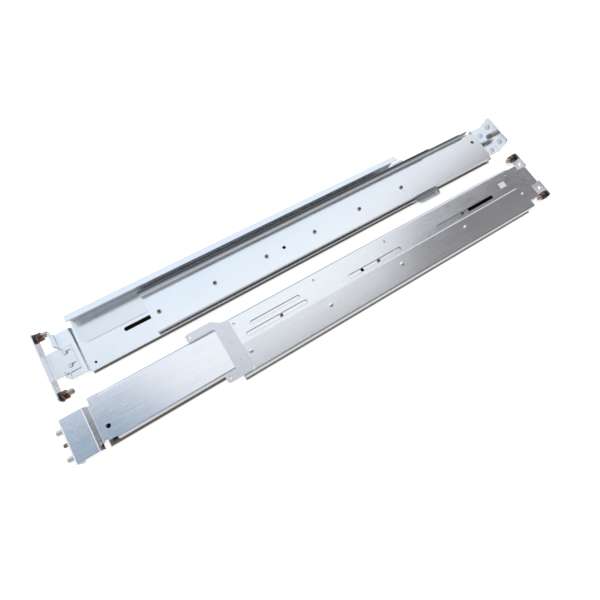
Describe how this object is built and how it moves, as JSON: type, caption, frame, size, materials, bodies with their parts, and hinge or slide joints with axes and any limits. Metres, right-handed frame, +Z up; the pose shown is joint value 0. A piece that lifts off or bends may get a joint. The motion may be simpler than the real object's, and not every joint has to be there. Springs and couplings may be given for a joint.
{
  "type": "pair of rack mounting rails",
  "caption": "Handed pair of length-adjustable sheet-steel rack rails with sliding inner channels, stud clamps in front and eared plates behind.",
  "frame": {"origin": "centre of the pair's footprint on the surface that it lies on", "axes": "+X along the rails, towards the left rail's front clamp; +Y from the left rail to the right rail; +Z up"},
  "size_m": [0.747, 0.172, 0.0242],
  "materials": {
    "zinc_sheet": "bright zinc-plated sheet, satin",
    "plated_stud": "turned and plated",
    "brass_stud": "yellow-passivated",
    "copper_spring": "copper-toned spring wire",
    "dark_steel": "black oxide",
    "label_stock": "bare white sticker"
  },
  "bodies": {
    "rails": {"left_outer_rail": "zinc_sheet", "left_fork_plate": "zinc_sheet", "left_fork_rivets": "zinc_sheet", "left_clamp_guide_rivets": "zinc_sheet", "right_outer_rail": "zinc_sheet", "right_fork_plate": "zinc_sheet", "right_fork_rivets": "zinc_sheet", "right_clamp_guide_rivets": "zinc_sheet", "left_label": "label_stock"},
    "left_inner": {"left_inner_rail": "zinc_sheet", "left_slide_studs": "brass_stud", "left_inner_rivets": "brass_stud", "left_rear_studs": "plated_stud", "left_plunger_sleeve": "dark_steel"},
    "left_clamp": {"left_clamp_bracket": "zinc_sheet", "left_front_studs": "plated_stud", "left_stud_collars": "dark_steel", "left_stud_coil_springs": "copper_spring"},
    "left_plunger": {"left_lock_plunger": "plated_stud"},
    "right_inner": {"right_inner_rail": "zinc_sheet", "right_slide_studs": "brass_stud", "right_inner_rivets": "brass_stud", "right_rear_studs": "plated_stud", "right_plunger_sleeve": "dark_steel"},
    "right_clamp": {"right_clamp_bracket": "zinc_sheet", "right_front_studs": "plated_stud", "right_stud_collars": "dark_steel", "right_stud_coil_springs": "copper_spring"},
    "right_plunger": {"right_lock_plunger": "plated_stud"}
  },
  "joints": [
    {"name": "left_length_slide", "type": "slide", "parent": "rails", "child": "left_inner", "axis": [-1, 0, 0], "range_m": [-0.035, 0.047]},
    {"name": "left_clamp_slide", "type": "slide", "parent": "rails", "child": "left_clamp", "axis": [1, 0, 0], "range_m": [0, 0.006], "stiffness_N_per_m": 400, "springref_m": -0.003},
    {"name": "left_plunger_pull", "type": "slide", "parent": "left_inner", "child": "left_plunger", "axis": [1, 0, 0], "range_m": [0, 0.006], "stiffness_N_per_m": 500, "springref_m": -0.003},
    {"name": "right_length_slide", "type": "slide", "parent": "rails", "child": "right_inner", "axis": [1, 0, 0], "range_m": [-0.021, 0.061]},
    {"name": "right_clamp_slide", "type": "slide", "parent": "rails", "child": "right_clamp", "axis": [-1, 0, 0], "range_m": [0, 0.006], "stiffness_N_per_m": 400, "springref_m": -0.003},
    {"name": "right_plunger_pull", "type": "slide", "parent": "right_inner", "child": "right_plunger", "axis": [-1, 0, 0], "range_m": [0, 0.006], "stiffness_N_per_m": 500, "springref_m": -0.003}
  ]
}
